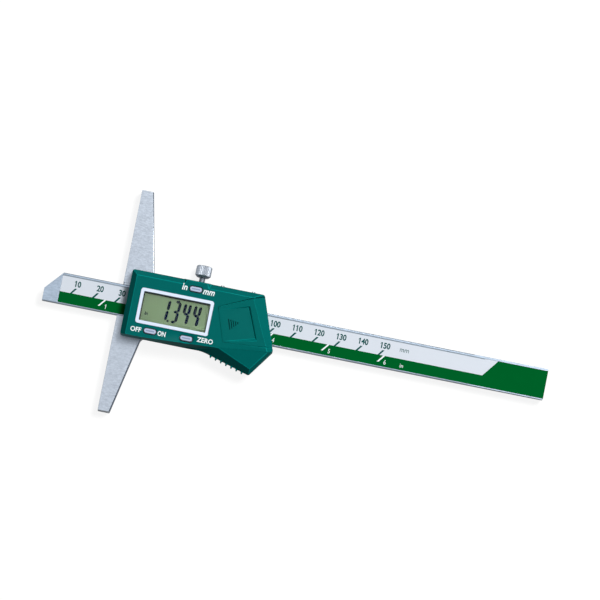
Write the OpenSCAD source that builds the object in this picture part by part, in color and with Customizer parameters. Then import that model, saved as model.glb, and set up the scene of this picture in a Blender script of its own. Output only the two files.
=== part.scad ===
// Digital depth gauge with a T-shaped base, lying on its back with the display up.
// X runs along the depth beam from its tip to its rear end, Y towards the lock screw,
// Z out of the display. The origin is the centre of the measuring face.

/* [Beam] */
// Length of beam left behind the slider at the greatest depth
beam_spare = 16.5; // [12:0.5:30]
// Width of the depth beam
beam_w = 14; // [12:0.5:18]
// Thickness of the depth beam
beam_t = 3.5; // [3:0.1:4.5]
// Height of the flat end that touches the bottom of a hole
tip_flat = 5.6; // [3:0.1:8]
// Length of the slanted cut behind the tip
tip_cut = 7.3; // [4:0.1:12]
// Bare steel between the tip and the scale
scale_start = 7; // [6:0.5:12]
// Steel rim along the upper side of the scale
scale_rim = 0.95; // [0.6:0.05:2]
// Steel rim along the lower side of the scale
scale_low_rim = 0.5; // [0.5:0.05:2]
// Depth of the groove that holds the scale
scale_groove = 0.8; // [0.6:0.05:1.2]
// Thickness of the printed circuit strip under the label
circuit_strip_t = 0.4; // [0.2:0.05:0.5]
// Thickness of the printed label
label_t = 0.2; // [0.1:0.05:0.25]

/* [Travel] */
// Depth that the display shows: how far the tip stands past the base
reading = 34.14; // [0:0.01:150]
// Greatest depth that the gauge measures
max_depth = 150; // [100:1:160]

/* [Base and slider] */
// Length of the measuring face
base_len = 101; // [75:1:150]
// Width of the base at its two ends
base_end_w = 5.4; // [4:0.1:8]
// Angle between the rear edges of the base and its measuring face
base_taper = 11.67; // [5:0.1:14]
// Steel left behind the beam
back_wall = 2.35; // [1.5:0.05:4]
// Width of the slider below the beam
low_rail_w = 7.45; // [5:0.05:8]
// Width of the slider above the beam, which holds the screws
high_rail_w = 4.5; // [3.6:0.1:5]
// Distance from the measuring face to the rear end of the slider
slider_len = 61.5; // [60:0.5:66]
// Radius of the inner corners between the base and the slider
root_fillet = 3; // [1:0.5:5]
// Chamfer along the front edges of the base
base_chamfer = 0.4; // [0.2:0.05:0.8]
// Sliding gap on each side of the beam
slide_gap = 0.05; // [0.03:0.01:0.1]
// Gap between the front of the beam and the front of the slider
front_gap = 0.1; // [0.05:0.05:0.3]

/* [Gib and screws] */
// Thickness of the gib strip that takes up the play of the beam
gib_t = 0.8; // [0.5:0.1:1.2]
// Diameter of the gib set screws
gib_screw_d = 1.6; // [1.4:0.1:2.5]
// Distance of the rear gib screw from the rear end of the slider
gib_screw_inset = 3.6; // [3:0.1:5]
// Distance between the two gib screws
gib_screw_pitch = 14.1; // [10:0.1:16]
// How far the gib screws stand out of the slider
gib_screw_out = 3; // [1:0.1:4]
// Distance of the lock screw from the measuring face
lock_x = 34.2; // [28:0.1:38]
// Diameter of the lock screw's shank
lock_d = 2.5; // [2:0.1:3]
// Free length of the shank between the slider and the knob
lock_neck = 4.7; // [3:0.1:7]
// Diameter of the knurled knob
knob_d = 7.1; // [5:0.1:8]
// Length of the knurled knob
knob_len = 5.2; // [3:0.1:7]
// Number of ridges round the knob
knob_ridges = 30; // [16:1:40]
// Diameter of the screws that hold the display housing
module_screw_d = 1.7; // [1.4:0.1:2]
// Head diameter of the screws that hold the display housing
module_head_d = 3.4; // [2.8:0.1:4]

/* [Housing] */
// Distance from the measuring face to the housing
housing_x = 3.1; // [1:0.1:4]
// Length of the upper edge of the housing
housing_top_len = 60; // [58:0.5:66]
// Height of the housing above the front of the slider
housing_h = 8.2; // [7.8:0.1:10]
// How far the housing reaches past the slider along the lock screw side
housing_over_high = 1.6; // [1.5:0.1:3]
// How far the housing reaches past the slider along the grip side
housing_over_low = 1.3; // [1.2:0.1:3]
// Thickness of the housing walls
wall = 1.5; // [1.2:0.1:1.6]
// Width of the bevel along the left edge
left_bevel = 2.4; // [1:0.1:3]
// Width of the bevel along the upper edge
top_bevel = 2.6; // [1:0.1:3]
// Height of the left and upper bevels
bevel_drop = 3; // [1:0.1:4]
// Radius of the outer corners
corner_r = 1.2; // [0.5:0.1:2]
// Distance from the measuring face to the start of the thumb grip
grip_start = 40.6; // [38:0.1:44]
// Radius of the blend at the start of the thumb grip
grip_blend_r = 14; // [8:0.5:16]
// Distance from the measuring face to the tip of the thumb grip
grip_x = 62.9; // [58:0.1:66]
// How far the thumb grip stands out past the lower edge
grip_out = 6.6; // [4:0.1:9]
// Height of the upright wall round the thumb grip
grip_wall = 2.5; // [1.5:0.1:4]
// Number of ribs on the thumb grip
grip_ribs = 7; // [3:1:8]
// Spacing of the ribs on the thumb grip
rib_pitch = 2.6; // [2:0.1:3]
// Distance from the measuring face to the rearmost corner
heel_x = 71.5; // [68:0.1:76]
// Distance of the rearmost corner below the beam's centre line
heel_y = 10.3; // [8:0.1:12]
// Slope of the bevel along the rear edge
rear_slope = 32; // [20:1:45]

/* [Display] */
// Distance from the measuring face to the middle of the display
display_x = 25.2; // [24.5:0.1:25.5]
// Distance of the middle of the display below the beam's centre line
display_low = 1.8; // [1.2:0.1:2.2]
// Width of the display frame
bezel_w = 33; // [31:0.5:33.5]
// Height of the display frame
bezel_h = 16; // [14:0.5:16.5]
// Width of the display frame's rim
bezel_rim = 1.4; // [1.3:0.1:2]
// How far the display frame stands out of the housing
bezel_out = 0.3; // [0.1:0.05:0.5]
// Thickness of the clear window
window_t = 0.6; // [0.4:0.1:0.7]
// Thickness of the liquid crystal panel
lcd_t = 1.1; // [0.8:0.1:1.4]
// Thickness of the circuit board
board_t = 1; // [0.8:0.1:1.6]

/* [Buttons] */
// Length of a push button
button_w = 5.5; // [4:0.1:6]
// Width of a push button
button_h = 2.2; // [1.8:0.1:2.4]
// How far a push button stands out of the housing
button_out = 0.45; // [0.4:0.05:0.8]
// Travel of a push button
button_travel = 0.4; // [0.3:0.05:0.5]
// Distance from the measuring face to the power button
power_x = 16.1; // [14:0.1:18]
// Distance from the measuring face to the unit and zero buttons
unit_zero_x = 32.5; // [30:0.1:34]
// Distance of the unit button above the beam's centre line
unit_y = 10; // [9.9:0.05:10.1]
// Distance of the power and zero buttons below the beam's centre line
low_button_y = 12.5; // [12.4:0.05:12.6]

/* [Battery] */
// Diameter of the button cell
battery_d = 11.6; // [9.5:0.1:11.6]
// Height of the button cell
battery_h = 5.4; // [4:0.1:5.4]
// Direction in which the battery cover slides
slide_angle = 18.5; // [15:0.5:20]
// Distance of the cover's front seam along the sliding direction
cover_u = 42.85; // [42.6:0.05:43.2]
// Middle of the cover's front seam, across the sliding direction
cover_v = -17.74; // [-18:0.05:-17.5]
// Length of the cover's front seam
cover_seam = 16.05; // [15.5:0.05:16.5]
// Spread of the cover's upper seam from the sliding direction
upper_spread = 5.7; // [4:0.1:7]
// Spread of the cover's lower seam from the sliding direction
lower_spread = 14; // [12:0.5:15]
// Gap all round the battery cover
cover_gap = 0.12; // [0.08:0.02:0.2]

/* [Hidden] */

$fn = 48;
eps = 0.01;
// Size of the blocks that cut away everything on one side of a plane
reach = 160;

// Levels along Z
frame_t = back_wall + slide_gap + beam_t + front_gap;
back_z = -frame_t / 2;
front_z = frame_t / 2;
channel_z = back_z + back_wall;
beam_z = channel_z + slide_gap;
beam_top = beam_z + beam_t;
groove_z = beam_top - scale_groove;
screw_z = beam_z + beam_t / 2;
board_top = front_z + board_t;
face_z = front_z + housing_h;
shoulder_z = face_z - bevel_drop;
plate_z = face_z - wall;

// Places along Y
beam_edge = beam_w / 2;
gib_y = beam_edge + slide_gap;
gib_back = gib_y + gib_t;
channel_low = -beam_edge - slide_gap;
channel_high = gib_back + slide_gap;
slider_low = channel_low - low_rail_w;
slider_high = channel_high + high_rail_w;
house_low = slider_low - housing_over_low;
house_high = slider_high + housing_over_high;

// Places along X
beam_len = slider_len + max_depth + beam_spare;
tip_x = -reading;
beam_end = beam_len - reading;
house_left = housing_x;
house_top_right = housing_x + housing_top_len;

function unit(v) = v / norm(v);

// Outline whose corners are rounded, each by its own radius
function round_corners(points, radii, steps = 6) =
    let(n = len(points))
    [for (i = [0:n - 1])
        let(
            here = points[i],
            back = unit(points[(i + n - 1) % n] - here),
            ahead = unit(points[(i + 1) % n] - here),
            half = acos(back * ahead) / 2,
            centre = here + unit(back + ahead) * radii[i] / sin(half),
            first = here + back * radii[i] / tan(half) - centre,
            turn = (180 - 2 * half) * sign(back.x * ahead.y - back.y * ahead.x) * -1
        )
        if (radii[i] == 0) here
        else each [for (k = [0:steps])
            let(a = turn * k / steps)
            centre + [first.x * cos(a) - first.y * sin(a), first.x * sin(a) + first.y * cos(a)]]
    ];

// Cuts away everything above the plane through three points
module cut_above(a, b, c) {
    n = cross(b - a, c - a);
    up = unit(n.z < 0 ? -n : n);
    translate(a)
        rotate([0, acos(up.z), atan2(up.y, up.x)])
            translate([-reach, -reach, 0])
                cube([2 * reach, 2 * reach, reach]);
}

function at(p, z) = [p.x, p.y, z];

// Cuts a slope that leaves a level along the line from a to b, with the body on its left
module slope_down(a, b, z, slope) {
    away = unit([b.y - a.y, a.x - b.x]);
    cut_above(at(a, z), at(b, z), at(a + away, z - tan(slope)));
}

// Slot outline with round ends, centred on the origin
module pill(w, h) {
    square([w - h, h], center = true);
    for (side = [-1, 1]) translate([side * (w - h) / 2, 0]) circle(d = h);
}

// Rectangle with rounded corners, centred on the origin
module rounded_rect(w, h, r) {
    square([w - 2 * r, h], center = true);
    square([w, h - 2 * r], center = true);
    for (x = [-1, 1], y = [-1, 1])
        translate([x * (w / 2 - r), y * (h / 2 - r)]) circle(r);
}

// Upright prism between two levels
module slab(z0, z1) {
    translate([0, 0, z0]) linear_extrude(z1 - z0) children();
}

// Box from its lowest and highest corners
module block(low, high) {
    translate(low) cube(high - low);
}

// Turns something made along Z so that it points along Y
module along_y(x, y, z) {
    translate([x, y, z]) rotate([-90, 0, 0]) children();
}

// Base and slider

function base_rear_x(y) = base_end_w + (base_len / 2 - abs(y)) * tan(base_taper);

module base_outline() {
    half = base_len / 2;
    polygon(round_corners(
        [
            [0, -half], [base_end_w, -half],
            [base_rear_x(slider_low), slider_low], [slider_len, slider_low],
            [slider_len, slider_high], [base_rear_x(slider_high), slider_high],
            [base_end_w, half], [0, half]
        ],
        [0.3, 0.5, root_fillet, 1, 1, root_fillet, 0.5, 0.3]
    ));
}

// Chamfer along a front edge that runs from a to b, with the body on its left
module front_chamfer(a, b) {
    inward = unit([a.y - b.y, b.x - a.x]) * base_chamfer;
    slope_down(a + inward, b + inward, front_z, 45);
}

module_screw_high = (channel_high + slider_high) / 2;
module_screw_inset = 2.3;
module_screw_low = slider_low + module_screw_inset;
module_screw_front = 9;
gib_screw_rear = slider_len - gib_screw_inset;
gib_screw_front = gib_screw_rear - gib_screw_pitch;
// The rear pair stands between the two gib screws, clear of both
module_screw_rear = (gib_screw_front + gib_screw_rear) / 2;
module_head_t = 1.2;
module_screw_places = [
    [module_screw_front, module_screw_high], [module_screw_rear, module_screw_high],
    [module_screw_front, module_screw_low], [module_screw_rear, module_screw_low]
];

module base_frame() {
    color([0.75, 0.79, 0.84])
    difference() {
        intersection() {
            slab(back_z, front_z) base_outline();
            // Chamfered rear edges of both arms
            union() {
                block([-1, slider_low, back_z - 1], [slider_len + 1, slider_high, front_z + 1]);
                difference() {
                    block([-1, -base_len, back_z - 1], [slider_len, base_len, front_z + 1]);
                    front_chamfer([base_end_w, -base_len / 2], [base_rear_x(0), 0]);
                    front_chamfer([base_rear_x(0), 0], [base_end_w, base_len / 2]);
                }
            }
        }
        // Channel for the beam and the gib
        block([-1, channel_low, channel_z], [slider_len + 1, channel_high, front_z + 1]);
        for (x = [gib_screw_front, gib_screw_rear])
            along_y(x, channel_high - 1, screw_z) cylinder(d = gib_screw_d + 0.06, h = high_rail_w + 2);
        along_y(lock_x, channel_high - 1, screw_z) cylinder(d = lock_d + 0.1, h = high_rail_w + 2);
        for (p = module_screw_places) translate([p.x, p.y, back_z]) {
            translate([0, 0, -1]) cylinder(d = module_screw_d + 0.3, h = frame_t + 2);
            translate([0, 0, -1]) cylinder(d = module_head_d + 0.4, h = module_head_t + 1.1);
        }
    }
}

// Gib and screws

gib_inset = 0.5;

module gib_strip() {
    color([0.64, 0.68, 0.74])
    block([gib_inset, gib_y, beam_z], [slider_len - gib_inset, gib_back, beam_top]);
}

gib_screw_len = high_rail_w + slide_gap + gib_screw_out;

module gib_screw() {
    slot_w = gib_screw_d / 4;
    difference() {
        union() {
            cylinder(d1 = gib_screw_d - 0.6, d2 = gib_screw_d, h = 0.3);
            translate([0, 0, 0.3]) cylinder(d = gib_screw_d, h = gib_screw_len - 0.5);
            translate([0, 0, gib_screw_len - 0.2])
                cylinder(d1 = gib_screw_d, d2 = gib_screw_d - 0.4, h = 0.2);
        }
        translate([-slot_w / 2, -gib_screw_d, gib_screw_len - 0.8])
            cube([slot_w, 2 * gib_screw_d, 1]);
    }
}

module gib_screws() {
    color([0.45, 0.47, 0.5])
    for (x = [gib_screw_front, gib_screw_rear]) along_y(x, gib_back, screw_z) gib_screw();
}

lock_tip_gap = 0.03;
lock_shank = high_rail_w + slide_gap - lock_tip_gap + lock_neck;
ridge_depth = 0.22;
knob_crown = 0.3;

// Section of the knob with one ridge for each step round it
module knob_section() {
    polygon([for (i = [0:2 * knob_ridges - 1])
        let(a = i * 180 / knob_ridges, r = knob_d / 2 - (i % 2) * ridge_depth)
        r * [cos(a), sin(a)]]);
}

module knob() {
    low_chamfer = 0.9;
    top_chamfer = 0.4;
    r = knob_d / 2;
    clear = 0.1;
    crown_from = r - top_chamfer;
    intersection() {
        linear_extrude(knob_len + knob_crown + eps) knob_section();
        // Both chamfers and the crown, on a form that stands clear of the ridges in between
        rotate_extrude() polygon([
            [0, -eps], [r - low_chamfer - eps, -eps], [r + clear, low_chamfer + clear],
            [r + clear, knob_len - top_chamfer - clear],
            each [for (k = [0:5]) let(q = crown_from * (1 - k / 5))
                [q, knob_len + knob_crown * (1 - pow(q / crown_from, 2))]]
        ]);
    }
}

module lock_screw() {
    tip = 0.3;
    color([0.78, 0.8, 0.83])
    along_y(lock_x, gib_back + lock_tip_gap, screw_z) {
        cylinder(d1 = lock_d - 2 * tip, d2 = lock_d, h = tip);
        translate([0, 0, tip]) cylinder(d = lock_d, h = lock_shank);
        translate([0, 0, lock_shank]) knob();
    }
}

// Beam and its scale

groove_low = scale_low_rim - beam_edge;
groove_high = beam_edge - scale_rim;
strip_gap = 0.05;
label_z = groove_z + circuit_strip_t;
stop_head_d = 4;
stop_head_t = 1.1;
stop_shank_d = 2;
stop_shank_len = beam_t - scale_groove - 0.4;
// The stop meets the end of the slider just past the greatest depth
stop_past = 1;
stop_x = slider_len + max_depth - reading + stop_head_d / 2 + stop_past;

module beam_outline() {
    polygon(round_corners(
        [
            [tip_x, -beam_edge], [beam_end, -beam_edge], [beam_end, beam_edge],
            [tip_x + tip_cut, beam_edge], [tip_x, tip_flat - beam_edge]
        ],
        [0.2, 0.5, 0.5, 0.3, 0.2]
    ));
}

// Strip that lies in the groove between two levels
module scale_strip(z0, z1) {
    block(
        [tip_x + scale_start + strip_gap, groove_low + strip_gap, z0],
        [beam_end - strip_gap, groove_high - strip_gap, z1]
    );
}

module beam() {
    edge = 0.25;
    color([0.72, 0.76, 0.8])
    difference() {
        slab(beam_z, beam_top) beam_outline();
        // Groove for the scale, open at the rear end
        block(
            [tip_x + scale_start, groove_low, groove_z],
            [beam_end + 1, groove_high, beam_top + 1]
        );
        // Fine chamfers along both front edges
        for (side = [-1, 1])
            cut_above(
                [0, side * (beam_edge - edge), beam_top],
                [1, side * (beam_edge - edge), beam_top],
                [0, side * beam_edge, beam_top - edge]
            );
        translate([stop_x, 0, beam_z - 1])
            cylinder(d = stop_shank_d + 0.06, h = stop_shank_len + 1.1);
    }
}

module scale_circuit() {
    color([0.55, 0.45, 0.2])
    scale_strip(groove_z, label_z);
}

module scale_label() {
    color([0.86, 0.88, 0.88])
    scale_strip(label_z, label_z + label_t);
}

module stop_screw() {
    slot_w = 0.6;
    color([0.5, 0.52, 0.55])
    translate([stop_x, 0, beam_z]) difference() {
        union() {
            cylinder(d = stop_shank_d, h = stop_shank_len);
            translate([0, 0, -stop_head_t]) cylinder(d = stop_head_d, h = stop_head_t);
        }
        translate([-slot_w / 2, -stop_head_d, -stop_head_t - 1])
            cube([slot_w, 2 * stop_head_d, 1.5]);
    }
}

// Housing

house_tl = [house_left, house_high];
house_bl = [house_left, house_low];
house_tr = [house_top_right, house_high];
grip_root = [grip_start, house_low];
grip_tip = [grip_x, house_low - grip_out];
heel = [heel_x, -heel_y];
grip_z = front_z + grip_wall;

// Lower edge of the front face, from where it leaves the outline to the rear bevel
crease_in = 9;
crease_past_grip = 6.7;
crease_lift = 2;
crease_start = [house_left + crease_in, house_low];
crease_mid = [grip_start + crease_past_grip, house_low + crease_lift];
heel_crease = [-2.8, -1.1];
crease_end = heel + heel_crease;
// Lower end of the crease that runs down the thumb grip
crest_back = [-0.1, 2.3];
grip_crest = grip_tip + crest_back;
// Ends of the edge between the front face and the rear bevel
rear_edge_heel = [-3.4, 1];
rear_edge_top = [-4.5, -3.3];
rear_edge_low = heel + rear_edge_heel;
rear_edge_high = house_tr + rear_edge_top;
// Slope of the long facet under the front face
side_slope = 80;
heel_r = 0.3;

// Distance of a point from the line through a and b
function off_line(p, a, b) =
    let(d = unit(b - a)) abs(d.x * (p.y - a.y) - d.y * (p.x - a.x));

// The grip's lower facet rises from the foot of the grip to the front face
grip_rise = (face_z - grip_z) / off_line(crease_mid, grip_root, grip_tip);
crest_z = grip_z + grip_rise * off_line(grip_crest, grip_root, grip_tip);
// The rear bevel ends at this level in the heel
heel_z = face_z - tan(rear_slope) * off_line(heel, rear_edge_low, rear_edge_high);

module main_outline() {
    polygon(round_corners(
        [house_tl, house_bl, [crease_mid.x, house_low], heel, house_tr],
        [corner_r, corner_r, 0, heel_r, corner_r]
    ));
}

module grip_outline() {
    polygon(round_corners(
        [[house_left + corner_r, house_low], grip_root, grip_tip, heel, rear_edge_low],
        [0, grip_blend_r, corner_r, heel_r, 0]
    ));
}

pad_x = lock_x - 1.6;
pad_half = 4.4;
pad_flare = 1.1;
pad_set_back = 0.45;
pad_flank = 60;

// Where the front face runs out towards the upper edge, beside the lock screw
module lock_pad() {
    low = house_high - top_bevel;
    outer_left = [pad_x - pad_half, house_high];
    outer_right = [pad_x + pad_half, house_high];
    inner_left = [outer_left.x - pad_flare, low];
    inner_right = [outer_right.x + pad_flare, low];
    difference() {
        block([inner_left.x - bevel_drop, low, front_z], [inner_right.x + bevel_drop, house_high, face_z]);
        slope_down(outer_left, inner_left, face_z, pad_flank);
        slope_down(inner_right, outer_right, face_z, pad_flank);
        slope_down(
            [1, house_high - pad_set_back], [0, house_high - pad_set_back],
            face_z, atan(bevel_drop / pad_set_back)
        );
    }
}

// Ribs along the upright wall of the thumb grip
module grip_rib_row() {
    along = unit(grip_tip - grip_root);
    root_w = 1;
    crest_w = 0.5;
    rib_out = 0.95;
    lean = 0.15;
    last = 3.4;
    for (i = [0:grip_ribs - 1])
        translate(at(grip_tip - along * (last + i * rib_pitch), front_z))
            rotate([0, 0, atan2(along.y, along.x)])
                linear_extrude(grip_wall)
                    polygon([
                        [-root_w / 2, 0.5], [-root_w / 2, 0], [lean - crest_w / 2, -rib_out],
                        [lean + crest_w / 2, -rib_out], [root_w / 2, 0], [root_w / 2, 0.5]
                    ]);
}

// Outer form that the housing and the battery cover share
module housing_form() {
    difference() {
        union() {
            difference() {
                slab(front_z, face_z) main_outline();
                slope_down(crease_start, crease_mid, face_z, side_slope);
            }
            difference() {
                slab(front_z, face_z) grip_outline();
                cut_above(at(grip_root, grip_z), at(grip_tip, grip_z), at(crease_mid, face_z));
            }
        }
        cut_above(at(crease_mid, face_z), at(crease_end, face_z), at(grip_crest, crest_z));
        cut_above(at(grip_tip, grip_z), at(heel, heel_z), at(grip_crest, crest_z));
        slope_down(rear_edge_low, rear_edge_high, face_z, rear_slope);
        slope_down(
            [house_left + left_bevel, 1], [house_left + left_bevel, 0],
            face_z, atan(bevel_drop / left_bevel)
        );
        slope_down(
            [1, house_high - top_bevel], [0, house_high - top_bevel],
            face_z, atan(bevel_drop / top_bevel)
        );
    }
}

// Middle of the button cell, set along the direction in which its cover slides
cell_back = 7.5;
battery_uv = [cover_u + cell_back, cover_v];
battery_at = [
    battery_uv.x * cos(slide_angle) - battery_uv.y * sin(slide_angle),
    battery_uv.x * sin(slide_angle) + battery_uv.y * cos(slide_angle)
];

// Hollow of the housing, open towards the slider
cavity_roof = 3.2;
board_past_cell = 5.24;
cavity_z = face_z - cavity_roof;
cavity_low = [house_left + wall, house_low + wall];
cavity_high = [battery_at.x + board_past_cell, house_high - wall];
cavity_r = 1;
boss_d = 3.8;

module cavity_outline(gap) {
    size = cavity_high - cavity_low - [2 * gap, 2 * gap];
    middle = (cavity_high + cavity_low) / 2;
    translate(middle) rounded_rect(size.x, size.y, cavity_r);
}

// Display parts, stacked between the circuit board and the window
display_at = [display_x, -display_low];
seat_gap = 0.05;
ledge_z = face_z - 0.9;
view_w = bezel_w - 2 * bezel_rim;
view_h = bezel_h - 2 * bezel_rim;
window_w = bezel_w - 1.6;
window_h = bezel_h - 1.8;
lcd_below_plate = 0.25;
lcd_play = 0.1;
lcd_top = plate_z - lcd_below_plate;
lcd_z = lcd_top - lcd_t;
lcd_w = window_w;
lcd_h = window_h - lcd_play;
holder_w = bezel_w + 0.4;
holder_h = bezel_h + 0.3;
zebra_inset = 0.7;
zebra_edge = 1.1;
zebra_w = lcd_w - 2 * zebra_inset;
zebra_t = 1.5;
zebra_off = lcd_h / 2 - zebra_edge;
holder_bar = 2.5;

module on_display(z0, z1) {
    translate(at(display_at, 0)) slab(z0, z1) children();
}

// Push buttons
unit_at = [unit_zero_x, unit_y];
power_at = [power_x, -low_button_y];
zero_at = [unit_zero_x, -low_button_y];
button_places = [unit_at, power_at, zero_at];
button_gap = 0.45;
flange_over = 0.2;
flange_t = 0.7;
flange_top = plate_z - seat_gap;
flange_w = button_w + 2 * (button_gap + flange_over);
flange_h = button_h + 2 * (button_gap + flange_over);
stem_d = 1.8;
switch_body_w = 3.2;
switch_body_h = 2.2;
switch_h = 3.3;
switch_top = board_top + switch_h;
stem_z = switch_top + button_travel + seat_gap;
button_chamfer = 0.25;
dish_spread = 1.1;
dish_depth = 0.5;

// Round-ended form whose walls slope outwards by spread, or inwards if that is negative
module pill_taper(w, h, spread, depth) {
    straight = w - h;
    for (side = [-1, 1])
        translate([side * straight / 2, 0, 0]) cylinder(d1 = h, d2 = h + 2 * spread, h = depth);
    translate([-straight / 2, 0, 0]) rotate([90, 0, 90]) linear_extrude(straight)
        polygon([[-h / 2, 0], [h / 2, 0], [h / 2 + spread, depth], [-h / 2 - spread, depth]]);
}

// Battery compartment and its cover
spring_h = 0.3;
spring_t = 0.12;
spring_r = 3.9;
spring_hole_r = 1.5;
battery_z = board_top + spring_h + 0.02;
bay_r = battery_d / 2 + 0.2;
bay_wall = 1.2;
bay_z = board_top + 0.15;
cover_z = battery_z + battery_h + 0.13;
cover_r = 1;
skirt_z = front_z + 2.5;
skirt_t = 4;
tongue_t = 0.6;
tongue_out = 1.25;
tongue_in = 4;
tongue_w = cover_seam - 2.6;
clip_t = 0.2;
clip_w = 2.6;
clip_foot = 3;
clip_r = battery_d / 2 + 0.05;

module along_slide() {
    rotate([0, 0, slide_angle]) children();
}

// Corner between two seams, moved outwards by a gap; a and b are the seams' outward normals
function moved_corner(p, a, b, gap) = p + gap * (a + b) / (1 + a * b);

// Plan of the cover inside its three seams, grown by a gap
module cover_zone(gap) {
    front = [-1, 0];
    upper = [-sin(upper_spread), cos(upper_spread)];
    lower = [-sin(lower_spread), -cos(lower_spread)];
    high = moved_corner([cover_u, cover_v + cover_seam / 2], front, upper, gap);
    low = moved_corner([cover_u, cover_v - cover_seam / 2], front, lower, gap);
    run = 60;
    along_slide() polygon(round_corners(
        [
            low, low + run * [-lower.y, lower.x],
            high + run * [upper.y, -upper.x], high
        ],
        [cover_r + gap, 0, 0, cover_r + gap]
    ));
}

// Strip of plan along the rear edge of the housing
module rear_strip(depth) {
    side = house_tr - heel;
    translate(heel) rotate(atan2(side.y, side.x))
        translate([-reach, -reach]) square([2 * reach, reach + depth]);
}

// Everything that the cover fills, grown by a gap
module cover_space(gap) {
    slab(cover_z - gap, face_z + 1) cover_zone(gap);
    slab(skirt_z - gap, face_z + 1) intersection() {
        cover_zone(gap);
        rear_strip(skirt_t + gap);
    }
}

// Tongue under the front seam, or with a gap the slot that it slides into
module cover_tongue(gap, run) {
    along_slide() block(
        [cover_u - tongue_out - gap, cover_v - tongue_w / 2 - gap, cover_z - gap],
        [cover_u + run, cover_v + tongue_w / 2 + gap, cover_z + tongue_t + gap]
    );
}

module housing() {
    color([0, 0.4, 0.38])
    difference() {
        union() {
            difference() {
                union() {
                    housing_form();
                    lock_pad();
                    grip_rib_row();
                }
                slab(front_z - 1, cavity_z) cavity_outline(0);
            }
            for (p = module_screw_places) translate(at(p, 0))
                slab(board_top + seat_gap, cavity_z + eps) circle(d = boss_d);
            translate(at(battery_at, 0)) slab(bay_z, cavity_z + eps) circle(bay_r + bay_wall);
        }
        cover_space(cover_gap);
        cover_tongue(cover_gap, tongue_in);
        // Battery bore, with a slot for its side contact
        translate(at(battery_at, 0)) {
            slab(bay_z - seat_gap, face_z) circle(bay_r);
            block(
                [-bay_r - bay_wall - 0.5, -clip_w / 2 - 0.3, board_top],
                [-clip_r, clip_w / 2 + 0.3, cavity_z]
            );
        }
        for (p = module_screw_places) translate(at(p, 0))
            slab(front_z, cavity_z - 0.3) circle(d = module_screw_d + 0.06);
        // Display opening, with a ledge for the window
        on_display(cavity_z - eps, plate_z) rounded_rect(holder_w + 0.4, holder_h + 0.4, 0.8);
        on_display(plate_z - eps, face_z) rounded_rect(view_w, view_h, 0.4);
        on_display(ledge_z, face_z + 1)
            rounded_rect(bezel_w + 2 * seat_gap, bezel_h + 2 * seat_gap, 1.2 + seat_gap);
        for (p = button_places) translate(at(p, 0)) {
            slab(cavity_z - eps, plate_z) pill(flange_w + 0.2, flange_h + 0.2);
            slab(plate_z - eps, face_z + 1) pill(button_w + 2 * button_gap, button_h + 2 * button_gap);
        }
        translate(at(zero_at, face_z - dish_depth))
            pill_taper(button_w + 2 * button_gap, button_h + 2 * button_gap, dish_spread, dish_depth + eps);
    }
}

module module_screw() {
    slot_w = 0.5;
    slot_l = 2;
    difference() {
        union() {
            cylinder(d = module_head_d, h = module_head_t);
            cylinder(d = module_screw_d, h = cavity_z - 0.6 - back_z);
        }
        translate([0, 0, 0.2]) for (a = [0, 90]) rotate([0, 0, a])
            cube([slot_l, slot_w, 1], center = true);
    }
}

module module_screws() {
    color([0.45, 0.47, 0.5])
    for (p = module_screw_places) translate(at(p, back_z + 0.05)) module_screw();
}

module display_bezel() {
    color([0.85, 0.87, 0.95])
    difference() {
        on_display(ledge_z, face_z + bezel_out) rounded_rect(bezel_w, bezel_h, 1.2);
        on_display(ledge_z - 1, face_z + 1) rounded_rect(view_w, view_h, 0.4);
        on_display(ledge_z - 1, ledge_z + window_t + seat_gap)
            rounded_rect(window_w + 2 * seat_gap, window_h + 2 * seat_gap, 0.4 + seat_gap);
    }
}

module display_window() {
    color([0.8, 0.9, 0.85, 0.4])
    on_display(ledge_z, ledge_z + window_t) rounded_rect(window_w, window_h, 0.4);
}

module display_holder() {
    color([0.9, 0.9, 0.88])
    difference() {
        on_display(board_top, lcd_top) rounded_rect(holder_w, holder_h, 0.8);
        on_display(lcd_z, lcd_top + 1) square([lcd_w + 2 * seat_gap, lcd_h + 2 * seat_gap], center = true);
        on_display(board_top - 1, lcd_top) square([zebra_w - 2 * holder_bar, 2 * zebra_off - zebra_t - 2], center = true);
        for (side = [-1, 1]) on_display(board_top - 1, lcd_top)
            translate([0, side * zebra_off])
                square([zebra_w + 2 * seat_gap, zebra_t + 2 * seat_gap], center = true);
    }
}

module lcd_panel() {
    color([0.55, 0.62, 0.45])
    on_display(lcd_z, lcd_top) square([lcd_w, lcd_h], center = true);
}

module zebra_strips() {
    color([0.2, 0.2, 0.22])
    for (side = [-1, 1]) on_display(board_top, lcd_z)
        translate([0, side * zebra_off]) square([zebra_w, zebra_t], center = true);
}

module circuit_board() {
    color([0.1, 0.35, 0.15])
    difference() {
        slab(front_z, board_top) cavity_outline(0.15);
        for (p = module_screw_places) translate(at(p, 0))
            slab(front_z - 1, board_top + 1) circle(d = module_screw_d + 0.3);
    }
}

module processor_cap() {
    cap_r = 3.4;
    cap_h = 0.9;
    dome_r = (cap_r * cap_r + cap_h * cap_h) / (2 * cap_h);
    rim = asin(cap_r / dome_r);
    color([0.08, 0.08, 0.09])
    translate(at(display_at, board_top)) rotate_extrude()
        polygon([
            [0, 0],
            each [for (k = [0:6]) let(a = rim * (1 - k / 6))
                [dome_r * sin(a), cap_h - dome_r * (1 - cos(a))]]
        ]);
}

module tact_switches() {
    color([0.15, 0.15, 0.16])
    for (p = button_places) translate(at(p, 0)) {
        slab(board_top, board_top + switch_body_h) square(switch_body_w, center = true);
        slab(board_top, switch_top) circle(d = stem_d);
    }
}

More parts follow.
